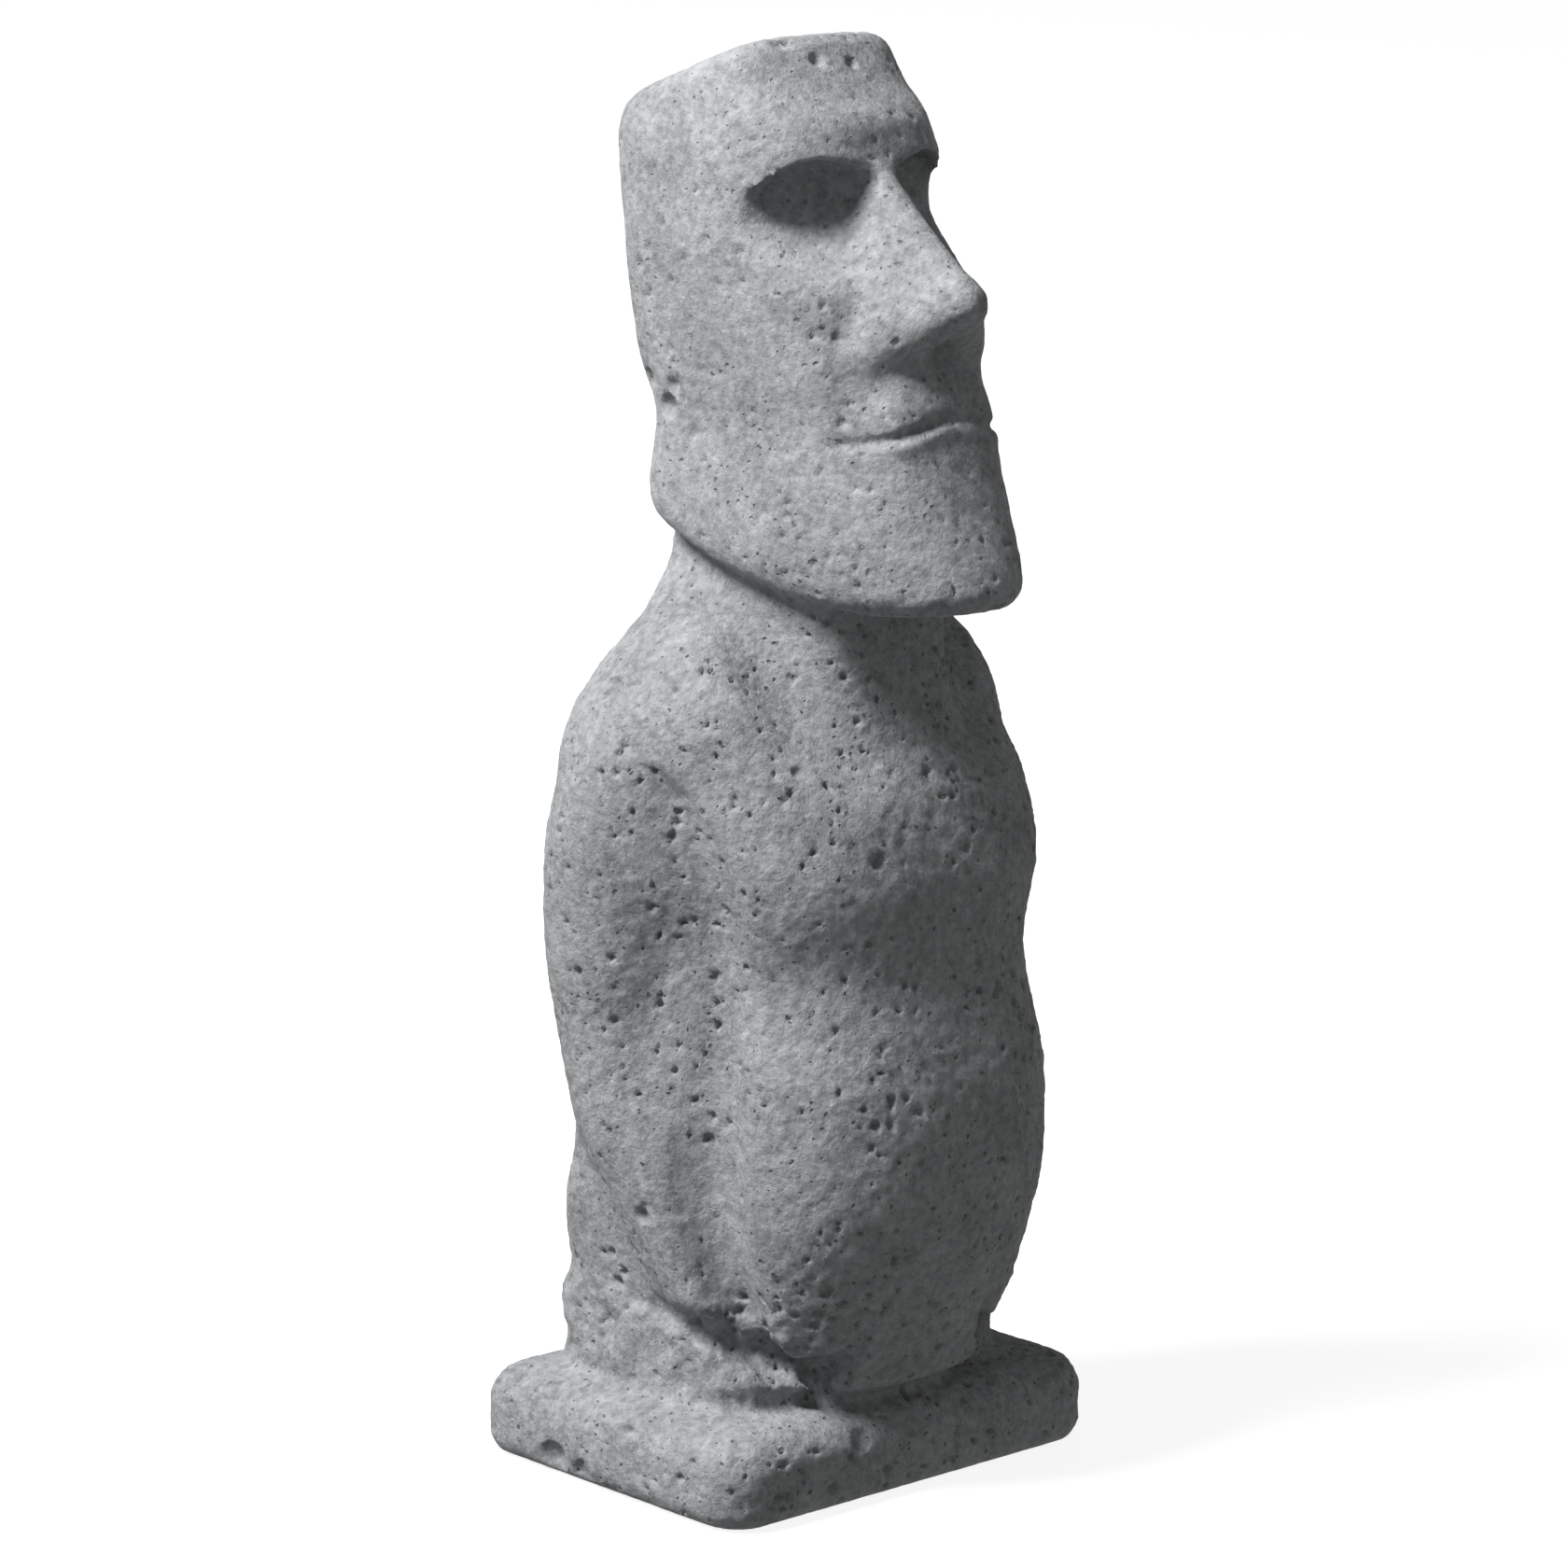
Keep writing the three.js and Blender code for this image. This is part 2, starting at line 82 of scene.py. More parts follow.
# Sections up the head without its nose: the same columns.
head_sections = np.array([
    [102, 16.8, 31, 15, 2.3],
    [110.6, 18.2, 34, 15.8, 2.3],
    [114.6, 19, 34.8, 16.4, 2.3],
    [119.6, 19.5, 33.2, 17.2, 2.35],
    [126.6, 19, 29.9, 18.2, 2.5],
    [134.6, 18.1, 26.8, 18, 2.7],
    [141.6, 18.7, 24, 21.4, 2.9],
    [148.6, 19.1, 20.4, 23.6, 3],
    [158.6, 19.4, 15.8, 25.4, 3],
    [166.6, 19.2, 12.2, 27, 2.9],
    [172.6, 18.9, 10, 28, 2.8],
    [176.6, 18, 7.2, 28.2, 2.6],
    [182.6, 16.6, 2, 28.2, 2.5],
    [192, 15.6, -6, 28, 2.4],
])

# Sections down a shoulder and arm to the end of the hand: height, middle across and forward,
# and half width across and forward.
arm_sections = np.array([
    [9.6, 22.6, 10, 1.6, 1.6],
    [11.2, 22.8, 9.8, 5.2, 5.4],
    [13.6, 23.2, 9, 6.8, 7],
    [17.6, 23.8, 7.2, 7.4, 7.8],
    [26, 24.8, 2.6, 8.2, 8.8],
    [36, 26, -3.8, 9, 9.4],
    [48, 26.2, -7.4, 9.8, 9.8],
    [62, 26.6, -8.6, 11, 11],
    [75, 26, -8.2, 12.2, 12.2],
    [84, 25, -6.8, 12.4, 12.4],
    [92, 22, -5.4, 12.8, 12.8],
    [100, 17.8, -3.6, 12.6, 12.2],
    [108, 12.4, -2.8, 10.6, 10],
    [115, 7.2, -3.2, 8.4, 8.4],
    [124, 5, -3, 9, 9],
])

# The groove between the arm and the chest and belly: height, middle across and forward, radius.
groove_line = np.array([
    [7.6, 23.6, 15.4, 0],
    [10.6, 24.2, 15.6, 1.6],
    [14.6, 25.6, 15, 2.6],
    [22, 28, 13.4, 3.4],
    [33, 29.2, 12, 3.8],
    [50, 29.8, 11.4, 4.2],
    [68, 30.8, 11.4, 4.2],
    [77, 32, 10, 3.6],
    [84, 33, 7, 2.4],
    [91, 34.6, 1, 0],
])


def section_at(table, z):
    levels = table[:, 0]
    z = np.clip(z, levels[0], levels[-1])
    row = np.clip(np.searchsorted(levels, z, side="left") - 1, 0, len(levels) - 2)
    before = table[np.maximum(row - 1, 0)]
    start = table[row]
    end = table[row + 1]
    after = table[np.minimum(row + 2, len(levels) - 1)]
    span = end[..., :1] - start[..., :1]
    t = (z[..., None] - start[..., :1]) / span
    slope_start = (end - before) / (end[..., :1] - before[..., :1]) * span
    slope_end = (after - start) / (after[..., :1] - start[..., :1]) * span
    rise = end - start
    return start + t * (rise + (1 - t) * ((slope_start - rise) * (1 - t) + (rise - slope_end) * t))


def join(a, b, blend):
    near = np.maximum(blend - np.abs(a - b), 0) / blend
    return np.minimum(a, b) - near * near * blend / 4


def meet(a, b, blend):
    return -join(-a, -b, blend)


def cut(form, cutter, blend):
    return meet(form, -cutter, blend)


def ellipsoid(x, s, z, centre, radii):
    offsets = [(v - c) for v, c in zip((x, s, z), centre)]
    near = np.sqrt(sum((v / r) ** 2 for v, r in zip(offsets, radii)))
    far = np.sqrt(sum((v / r ** 2) ** 2 for v, r in zip(offsets, radii)))
    return near * (near - 1) / np.maximum(far, 1e-9)


# A limb runs through points given with its radius there: (x, s, z, radius).
def limb(x, s, z, points):
    form = np.inf
    for start, end in zip(points[:-1], points[1:]):
        step = [b - a for a, b in zip(start, end)]
        length = step[0] ** 2 + step[1] ** 2 + step[2] ** 2
        along = ((x - start[0]) * step[0] + (s - start[1]) * step[1] + (z - start[2]) * step[2])
        t = np.clip(along / length, 0, 1)
        distance = np.sqrt(
            (x - start[0] - t * step[0]) ** 2
            + (s - start[1] - t * step[1]) ** 2
            + (z - start[2] - t * step[2]) ** 2
        )
        form = np.minimum(form, distance - start[3] - step[3] * t)
    return form


def smoothstep(value, low, high):
    t = np.clip((value - low) / (high - low), 0, 1)
    return t * t * (3 - 2 * t)


# A level section is squarer behind its widest place than in front of it.
def section(x, s, widest, half_width, front, back, front_power, back_power):
    ahead = s > widest
    depth = np.where(ahead, front - widest, back + widest)
    power = np.where(ahead, front_power, back_power)
    across = np.abs(x) / half_width
    along = np.abs(s - widest) / depth
    reach = np.maximum(across ** power + along ** power, 1e-12) ** (1 / power)
    share = (along / reach) ** 2
    return (reach - 1) * (half_width * (1 - share) + depth * share)


NECK_END = 121
NECK_BLEND = 2
TORSO_WIDEST = -4
TORSO_BACK_POWER = 4


def torso(x, s, z):
    _, half_width, front, back, power = np.moveaxis(section_at(torso_sections, z), -1, 0)
    form = section(x, s, TORSO_WIDEST, half_width, front, back, power, TORSO_BACK_POWER)
    return meet(form, z - NECK_END, NECK_BLEND)


# The throat is flat in front and stands out before the shoulders, which rise behind it.
THROAT_START = 84
THROAT_HALF_WIDTH = 14.8
THROAT_FRONT = 17.2
THROAT_BACK = 10


def throat(x, s, z):
    form = section(x, s, 0, THROAT_HALF_WIDTH, THROAT_FRONT, THROAT_BACK, 3.4, 2)
    return meet(meet(form, z - NECK_END, NECK_BLEND), THROAT_START - z, 8)


def arm(side, s, z):
    _, middle, forward, half_width, half_depth = np.moveaxis(section_at(arm_sections, z), -1, 0)
    form = section(side - middle, s - forward, 0, half_width, half_depth, half_depth, 2, 2)
    hand_end = arm_sections[0, 0]
    return meet(meet(form, hand_end - z, 2), z - NECK_END, NECK_BLEND)


# The groove runs down between the arm and the chest and belly, to the hand.
def arm_groove(side, s, z):
    _, middle, forward, radius = np.moveaxis(section_at(groove_line, z), -1, 0)
    form = np.hypot(side - middle, s - forward) - radius
    low_end = groove_line[0, 0]
    high_end = groove_line[-1, 0]
    return meet(meet(form, low_end - z, 2), z - high_end, 2)


# A foot is a wedge that gets lower toward the toes, with the heel as a rough lump behind it.
# The feet turn a little inward and are sunk into the plinth.
INSTEP_HEIGHT = 12
INSTEP_SLOPE = 0.0185
HEEL_HEIGHT = 18
FEET_SUNK = 2


def foot(side, s, z):
    out = side - 19.8 + 0.06 * s
    form = section(out, s, 0, 9.4, 18.8, 8, 2.8, 6)
    top = INSTEP_HEIGHT - INSTEP_SLOPE * np.maximum(s + 2, 0) ** 2
    form = meet(form, z - top, 1.6)
    heel = section(side - 17, s + 10.6, 0, 11.6, 10, 11.4, 2.4, 2.6)
    heel = meet(heel, z - HEEL_HEIGHT, 8)
    return meet(join(form, heel, 2), -FEET_SUNK - z, 1)


# The gap between the toes and the block.
def toe_gap(side, s, z):
    return limb(side, s, z, [(14.6, 20.6, -1, 2), (14.6, 20.4, 4, 1.9), (16.4, 18.4, 7, 1.5)])


# The crease under the hand, and then where the belly hangs over the block between the feet.
def belly_crease(side, s, z):
    return limb(side, s, z, [
        (30.4, 6, 12.6, 0.4), (28, 11, 10.8, 1.2), (24.4, 14.8, 9.2, 1.5), (19.4, 17.2, 7, 1.9),
        (15.8, 20.8, 6.2, 1.8), (13.4, 24.8, 7.8, 1.1), (12, 27.8, 11.4, 0.2),
    ])


# The mouth is a line that droops a little from its middle toward its corners.
MOUTH_MIDDLE = 138.2
MOUTH_DROOP = 0.3
MOUTH_TURN = 3
MOUTH_CORNER = 17.6
MOUTH_DEPTH = 1.1
MOUTH_WIDTH = 0.5


def mouth_height(x):
    return MOUTH_MIDDLE - MOUTH_DROOP * (np.hypot(x, MOUTH_TURN) - MOUTH_TURN)


# A soft ridge or groove: 1 at its middle and falling away over its width on either side.
def swell(away, width):
    return np.exp(-(away / width) ** 2)


# The long head carries its brow and lips in front. Its crown falls toward the back, and its jaw
# rises there.
BROW_HEIGHT = 177
BROW_DEPTH = 1.3
HEAD_WIDEST = -7
HEAD_BACK_POWER = 4.6
CROWN_MIDDLE = 188.5
CROWN_SLOPE = 0.43
CROWN_STEEPNESS = 0.918
JAW_LOW = 111.6
JAW_FRONT = 24


def head(x, s, z):
    _, half_width, front, back, power = np.moveaxis(section_at(head_sections, z), -1, 0)
    middle = smoothstep(18 - np.abs(x), 0, 6)
    mouth = mouth_height(x)
    upper_lip = 0.3 * swell(z - mouth - 2.2, 2)
    lower_lip = 0.5 * swell(z - mouth + 1.3, 1.1)
    brow = BROW_DEPTH * swell(z - BROW_HEIGHT, 2.6)
    front = front + middle * (upper_lip + lower_lip) + brow
    form = section(x, s, HEAD_WIDEST, half_width, front, back, power, HEAD_BACK_POWER)
    crown = z - CROWN_MIDDLE - CROWN_SLOPE * (s + 2) + 0.0036 * x * x
    form = meet(form, crown * CROWN_STEEPNESS, 3.4)
    in_front = smoothstep(s, 15, 18) * smoothstep(MOUTH_CORNER - np.abs(x), 0, 2)
    form = form + MOUTH_DEPTH * in_front * swell(z - mouth, MOUTH_WIDTH)
    rise_behind = 0.0059 * np.maximum(JAW_FRONT - s, 0) ** 2
    rise_ahead = 0.05 * np.maximum(s - JAW_FRONT, 0)
    return meet(form, JAW_LOW + rise_behind + rise_ahead - z, 4)


# An eye socket is a deep hollow under the edge of the brow that runs out on the cheek.
SOCKET_MIDDLE = 9
SOCKET_HEIGHT = 168
SOCKET_RADII = (11.8, 9.8, 9.6)
BROW_EDGE = 171.8


def socket(side, s, z):
    out = side - SOCKET_MIDDLE
    outer = np.maximum(out, 0)
    forward = s + 0.5 * out - 0.3 * np.maximum(SOCKET_HEIGHT - z, -4)
    hollow = ellipsoid(out, forward, z + 0.16 * outer, (0, 13.2, 167.4), SOCKET_RADII)
    edge = BROW_EDGE + 0.22 * np.minimum(out, 0) - 0.0066 * outer ** 3
    return meet(hollow, z - edge, 0.8)


# The nose is a ridge from the brow to the tip, with a flank and a wing on each side, cut off
# below at a slant, where the nostrils are.
NOSE_UNDERSIDE = 143.6


def nose(x, s, z):
    side = np.abs(x)
    form = limb(x, s, z, [(0, 6.4, 171.8, 2.2), (0, 14.9, 163.4, 2.6), (0, 26.4, 154.2, 2.9)])
    flank = limb(side, s, z, [(0, 6, 166.6, 2.4), (4, 16.4, 151.8, 6)])
    wing = limb(side, s, z, [(0.6, 25.4, 153.2, 3.2), (8, 16.8, 146.8, 4.7)])
    form = join(form, flank, 5)
    form = join(form, wing, 3)
    under = (NOSE_UNDERSIDE + 0.9 * (s - 19.5) - z) * 0.74
    form = meet(form, under, 0.8)
    nostril = ellipsoid(side, s, z, (4.4, 20, 144.4), (2.8, 3.4, 2))
    return cut(form, nostril, 1)


# The soft fold from the wing of the nose past the corner of the mouth.
def cheek_fold(side, s, z):
    return limb(side, s, z, [(13, 19, 153, 1.4), (15.2, 22, 143, 3.4), (17.4, 23.4, 132, 1.6)])


# The hollow under the jaw, between the throat and the shoulder.
def collar_hollow(side, s, z):
    return limb(side, s, z, [
        (19, -12, 117.6, 1.2), (19.2, -4, 114.6, 2), (18.8, 4, 111, 2.8), (18.4, 11, 104, 3.2),
        (16.6, 17, 97, 2), (13, 21.4, 92, 0.2),
    ])


def figure(x, s, z):
    side = np.abs(x)
    shoulder = smoothstep(z, 82, 98)
    form = join(torso(x, s, z), arm(side, s, z), 4 + 7 * shoulder)
    form = join(form, throat(x, s, z), 5)
    form = cut(form, collar_hollow(side, s, z), 8)
    form = cut(form, arm_groove(side, s, z), 5)
    form = cut(form, belly_crease(side, s, z), 2.4)
    form = join(form, foot(side, s, z), 1)
    form = cut(form, toe_gap(side, s, z), 0.8)
    form = join(form, head(x, s, z), 1.6)
    form = cut(form, cheek_fold(side, s, z), 5)
    cheek = smoothstep(SOCKET_HEIGHT - z, 0, 6)
    form = cut(form, socket(side, s, z), 1.2 + 3.6 * cheek)
    return join(form, nose(x, s, z), 1.6)


# The crown's highest point, found along upright lines over the front of the head.
def crown_height():
    x, s = np.meshgrid(np.linspace(0, 12, 25), np.linspace(-8, 8, 65))
    low = np.full(x.shape, 176.0)
    high = np.full(x.shape, 200.0)
    for _ in range(20):
        middle = (low + high) / 2
        inside = figure(x, s, middle) < 0
        low = np.where(inside, middle, low)
        high = np.where(inside, high, middle)
    return low.max()


share = (height - PLINTH_THICKNESS) / crown_height()


# The plinth's top falls a little toward its rim.
def plinth(x, y, z):
    across = np.abs(x) - PLINTH_WIDTH / 2 + PLINTH_CORNER_RADIUS
    along = np.abs(y) - PLINTH_DEPTH / 2 + PLINTH_CORNER_RADIUS
    plan = np.hypot(np.maximum(across, 0), np.maximum(along, 0))
    plan += np.minimum(np.maximum(across, along), 0) - PLINTH_CORNER_RADIUS
    near_rim = np.clip(1 + plan / PLINTH_FALL_WIDTH, 0, 1.2)
    top = PLINTH_THICKNESS - PLINTH_FALL * near_rim ** 2
    form = meet(plan, z - top, 2 * PLINTH_EDGE_RADIUS)
    return meet(form, -z, 2 * PLINTH_EDGE_RADIUS)


def casting(x, y, z):
    form = figure(x / share, -y / share, (z - PLINTH_THICKNESS) / share) * share
    form = np.maximum(form, PLINTH_THICKNESS / 2 - z)
    return join(form, plinth(x, y, z), PLINTH_FILLET)


# A net of four-sided faces over the field's zero level, with one point in each cell of a grid
# that the level passes through.
def surface_net(field, low, high, cell):
    counts = np.ceil((np.array(high) - low) / cell).astype(int) + 1
    axes = [low[k] + cell * np.arange(counts[k]) for k in range(3)]
    values = np.empty(counts, np.float32)
    for k in range(0, counts[2], 16):
        x, y, z = np.meshgrid(axes[0], axes[1], axes[2][k:k + 16], indexing="ij")
        values[:, :, k:k + 16] = field(x, y, z)
    inside = values < 0
    total = np.zeros(tuple(counts - 1) + (3,), np.float32)
    crossings = np.zeros(tuple(counts - 1), np.int16)
    faces = []
    for k in range(3):
        here = tuple(slice(0, -1) if i == k else slice(None) for i in range(3))
        ahead = tuple(slice(1, None) if i == k else slice(None) for i in range(3))
        crossed = inside[here] != inside[ahead]
        corner = np.argwhere(crossed)
        point = corner.astype(np.float32)
        point[:, k] += values[here][crossed] / (values[here][crossed] - values[ahead][crossed])
        u = (k + 1) % 3
        v = (k + 2) % 3
        around = []
        for du, dv in ((0, 0), (-1, 0), (-1, -1), (0, -1)):
            cell_at = corner.copy()
            cell_at[:, u] += du
            cell_at[:, v] += dv
            np.add.at(total, tuple(cell_at.T), point)
            np.add.at(crossings, tuple(cell_at.T), 1)
            around.append(np.ravel_multi_index(cell_at.T, crossings.shape))
        quads = np.stack(around, 1)
        turned = ~inside[tuple(corner.T)]
        quads[turned] = quads[turned][:, ::-1]
        faces.append(quads)
    used = np.flatnonzero(crossings.ravel())
    number = np.full(crossings.size, -1)
    number[used] = np.arange(len(used))
    points = total.reshape(-1, 3)[used] / crossings.ravel()[used][:, None]
    return points * cell + np.array(low, float), number[np.concatenate(faces)]


def slope(field, points, step=0.05):
    offsets = np.eye(3) * step
    rise = [field(*(points + o).T) - field(*(points - o).T) for o in offsets]
    return np.stack(rise, 1) / (2 * step)


# Evens out the net and brings its points back to the skin.
def settle(field, points, faces, passes):
    for _ in range(passes):
        total = np.zeros_like(points)
        count = np.zeros(len(points))
        for k in range(4):
            for neighbour in (faces[:, (k + 1) % 4], faces[:, (k + 3) % 4]):
                np.add.at(total, faces[:, k], points[neighbour])
                np.add.at(count, faces[:, k], 1)
        points = points / 2 + total / count[:, None] / 2
        for _ in range(2):
            rise = slope(field, points)
            steep = np.maximum(np.linalg.norm(rise, axis=1), 0.3)
            step = np.clip(field(*points.T) / steep, -1, 1)
            points = points - rise / steep[:, None] * step[:, None]
    return points


# The net is fine enough for the brow's edge, the mouth and the creases, and stays in the solid's
# own box.
NET_CELL = 0.8
NET_LOW = (-44, -42, -2)
NET_HIGH = (44, 36, height + 3)
points, faces = surface_net(casting, NET_LOW, NET_HIGH, NET_CELL)
points = settle(casting, points, faces, 2)
points = np.clip(points, np.array(cad_low) / METRES, np.array(cad_high) / METRES)
mesh = bpy.data.meshes.new("statue")
mesh.from_pydata(points * METRES, [], faces)
mesh.validate()
statue = bpy.data.objects.new("moai", mesh)
bpy.context.scene.collection.objects.link(statue)


# The skin of the cast concrete, as a node tree that moves the net's points along their
# normals: broad lumps from the mould, small lumps of grain, and open air holes, which are
# little balls of air that the skin cuts through. Sizes are in metres.
def add_node(tree, kind, **settings):
    node = tree.nodes.new(kind)
    for name, value in settings.items():
        setattr(node, name, value)
    return node


def feed(tree, node, name, value):
    socket = node.inputs[name]
    if isinstance(value, bpy.types.NodeSocket):
        tree.links.new(value, socket)
    else:
        socket.default_value = value


def maths(tree, operation, *values):
    node = add_node(tree, "ShaderNodeMath", operation=operation)
    for k, value in enumerate(values):
        feed(tree, node, k, value)
    return node.outputs[0]


def vector_maths(tree, operation, *values):
    node = add_node(tree, "ShaderNodeVectorMath", operation=operation)
    for k, value in enumerate(values):
        if operation == "SCALE" and k == 1:
            feed(tree, node, "Scale", value)
        else:
            feed(tree, node, k, value)
    return node.outputs[0]


def noise(tree, place, size, detail, roughness=0.5):
    node = add_node(tree, "ShaderNodeTexNoise")
    feed(tree, node, "Vector", place)
    feed(tree, node, "Scale", maths(tree, "DIVIDE", 1, size))
    feed(tree, node, "Detail", detail)
    feed(tree, node, "Roughness", roughness)
    return node.outputs["Fac"]


def clamped(tree, value, least):
    return maths(tree, "MINIMUM", maths(tree, "MAXIMUM", value, least), 1)


# How deep into a ball of air a place lies, from 0 at its edge to 1 in its middle.
def ball(tree, away, radius):
    return maths(tree, "MAXIMUM", maths(tree, "SUBTRACT", 1, maths(tree, "DIVIDE", away, radius)), 0)


# Air holes stand one to a cell, each with a size of its own, ragged and thicker in some places.
# Raggedness and crowds are counted in spacings, and no hole is smaller than the least share.
RAGGED_WAVES = 1.6
RAGGED_PUSH = 0.7
CROWD_WIDTH = 7
CROWD_START = 0.3
CROWD_CONTRAST = 2.4
LEAST_CROWD = 0.05
FEW_LARGE = 1.8
LEAST_SHARE = 0.15


def air_holes(tree, place, spacing, size):
    ragged = add_node(tree, "ShaderNodeTexNoise")
    feed(tree, ragged, "Vector", place)
    feed(tree, ragged, "Scale", maths(tree, "DIVIDE", RAGGED_WAVES, spacing))
    push = vector_maths(tree, "SUBTRACT", ragged.outputs["Color"], (0.5, 0.5, 0.5))
    push = vector_maths(tree, "SCALE", push, maths(tree, "MULTIPLY", spacing, RAGGED_PUSH))
    cells = add_node(tree, "ShaderNodeTexVoronoi", feature="F1")
    feed(tree, cells, "Vector", vector_maths(tree, "ADD", place, push))
    feed(tree, cells, "Scale", maths(tree, "DIVIDE", 1, spacing))
    away = maths(tree, "MULTIPLY", cells.outputs["Distance"], spacing)
    crowd = noise(tree, place, maths(tree, "MULTIPLY", spacing, CROWD_WIDTH), 1.0)
    crowd = maths(tree, "SUBTRACT", crowd, CROWD_START)
    crowd = maths(tree, "MULTIPLY", crowd, CROWD_CONTRAST)
    crowd = clamped(tree, crowd, LEAST_CROWD)
    own = maths(tree, "POWER", cells.outputs["Color"], FEW_LARGE)
    own = maths(tree, "MULTIPLY", own, crowd)
    radius = maths(tree, "MULTIPLY_ADD", own, 1 - LEAST_SHARE, LEAST_SHARE)
    radius = maths(tree, "MULTIPLY", radius, size)
    return ball(tree, away, radius)


# The body is rougher than the head: 1 on the body, 0 on the head, and between over the jaw.
SMOOTH_FROM = 0.138
SMOOTH_BLEND = 0.018


def on_body(tree, level):
    below = maths(tree, "SUBTRACT", SMOOTH_FROM, level)
    return clamped(tree, maths(tree, "DIVIDE", below, SMOOTH_BLEND), 0)


skin = bpy.data.node_groups.new("cast skin", "GeometryNodeTree")
SKIN_INPUTS = {
    "Lump size": 0.0075,
    "Lump height": 0.0005,
    "Grain size": 0.0022,
    "Grain height": 0.0007,
    "Hole spacing": 0.0022,
    "Hole size": 0.0013,
    "Hole depth": 0.0009,
    "Crumb height": 0.0034,
    "Seed": 4.0,
}
skin.interface.new_socket("Geometry", in_out="INPUT", socket_type="NodeSocketGeometry")
skin.interface.new_socket("Geometry", in_out="OUTPUT", socket_type="NodeSocketGeometry")
for name in SKIN_INPUTS:
    skin.interface.new_socket(name, in_out="INPUT", socket_type="NodeSocketFloat")
skin.interface.new_socket("Material", in_out="INPUT", socket_type="NodeSocketMaterial")
entry = add_node(skin, "NodeGroupInput").outputs
finer = add_node(skin, "GeometryNodeSubdivisionSurface")
feed(skin, finer, "Mesh", entry["Geometry"])
feed(skin, finer, "Level", 1)
position = add_node(skin, "GeometryNodeInputPosition").outputs[0]
shift = vector_maths(skin, "SCALE", (0.31, 0.17, 0.23), entry["Seed"])
place = vector_maths(skin, "ADD", position, shift)
split = add_node(skin, "ShaderNodeSeparateXYZ")
feed(skin, split, 0, position)
body = on_body(skin, split.outputs[2])

# Lumps and grain lie mostly below the net, so that the casting stays in the solid's box. On the
# head, grain and air holes are only a share of what they are elsewhere.
LUMP_TOP = 0.75
GRAIN_TOP = 0.7
HEAD_SHARE = 0.6
BODY_MORE = 0.5
lumps = noise(skin, place, entry["Lump size"], 2.0)
lumps = maths(skin, "MULTIPLY", maths(skin, "SUBTRACT", lumps, LUMP_TOP), entry["Lump height"])
roughness = maths(skin, "MULTIPLY_ADD", body, BODY_MORE, HEAD_SHARE)
grain = noise(skin, place, entry["Grain size"], 3.0, 0.6)
grain = maths(skin, "MULTIPLY", maths(skin, "SUBTRACT", grain, GRAIN_TOP), entry["Grain height"])
grain = maths(skin, "MULTIPLY", grain, roughness)
holes = air_holes(skin, place, entry["Hole spacing"], entry["Hole size"])
sunk = maths(skin, "MULTIPLY", maths(skin, "POWER", holes, 0.5), entry["Hole depth"])
sunk = maths(skin, "MULTIPLY", sunk, roughness)

# The largest air holes and the chips in the plinth's edge, each in its place: millimetres across,
# toward the back and up, then radius and depth.
PITS = [
    (-19.7, -17.8, 103.9, 1.1, 1),
    (-12, -26.1, 91.4, 1.2, 1),
    (-33, -3.1, 40, 1.3, 1.2),
    (-32.4, -3.6, 41.6, 0.9, 0.9),
    (-3.2, -0.3, 197.1, 1.2, 0.9),
    (2.8, -1, 196.3, 1, 0.8),
    (-17.7, 15.9, 152.3, 1.5, 1.1),
    (-18.4, 10.4, 152.2, 1.2, 0.9),
    (-18, 11.6, 149.1, 1.8, 1.3),
    (-18.1, 6.6, 146, 1.1, 0.8),
    (-11.5, -26.7, 9.4, 1.9, 0.9),
    (-1.2, -26.5, 9.9, 2.1, 1),
    (-36.5, 9.7, 2.6, 2.6, 1.4),
    (-36.4, 4, 1.6, 2, 0.9),
]
for x, y, z, radius, depth in PITS:
    centre = (x * METRES, y * METRES, z * METRES)
    away = add_node(skin, "ShaderNodeVectorMath", operation="DISTANCE")
    feed(skin, away, 0, position)
    feed(skin, away, 1, centre)
    pit = maths(skin, "POWER", ball(skin, away.outputs["Value"], radius * METRES), 0.5)
    sunk = maths(skin, "MAXIMUM", sunk, maths(skin, "MULTIPLY", pit, depth * METRES))
relief = maths(skin, "SUBTRACT", maths(skin, "ADD", lumps, grain), sunk)

# The feet are rough and crumbly, out from the block between them and up to the hands.
FEET_INNER = 0.013
FEET_TOP = 0.031
FEET_BLEND = 0.006
PLINTH_BLEND = 0.002
CRUMB_SIZE = 0.005
CRUMB_TOP = 0.56
beside = maths(skin, "SUBTRACT", maths(skin, "ABSOLUTE", split.outputs[0]), FEET_INNER)
beside = maths(skin, "DIVIDE", beside, FEET_BLEND)
below = maths(skin, "SUBTRACT", FEET_TOP, split.outputs[2])
below = maths(skin, "DIVIDE", below, FEET_BLEND)
above = maths(skin, "SUBTRACT", split.outputs[2], PLINTH_THICKNESS * METRES)
above = maths(skin, "DIVIDE", above, PLINTH_BLEND)
at_feet = maths(skin, "MINIMUM", maths(skin, "MINIMUM", beside, below), above)
at_feet = clamped(skin, at_feet, 0)
crumbs = noise(skin, place, CRUMB_SIZE, 2.0)
crumbs = maths(skin, "SUBTRACT", crumbs, CRUMB_TOP)
crumbs = maths(skin, "MULTIPLY", crumbs, entry["Crumb height"])
relief = maths(skin, "ADD", relief, maths(skin, "MULTIPLY", crumbs, at_feet))

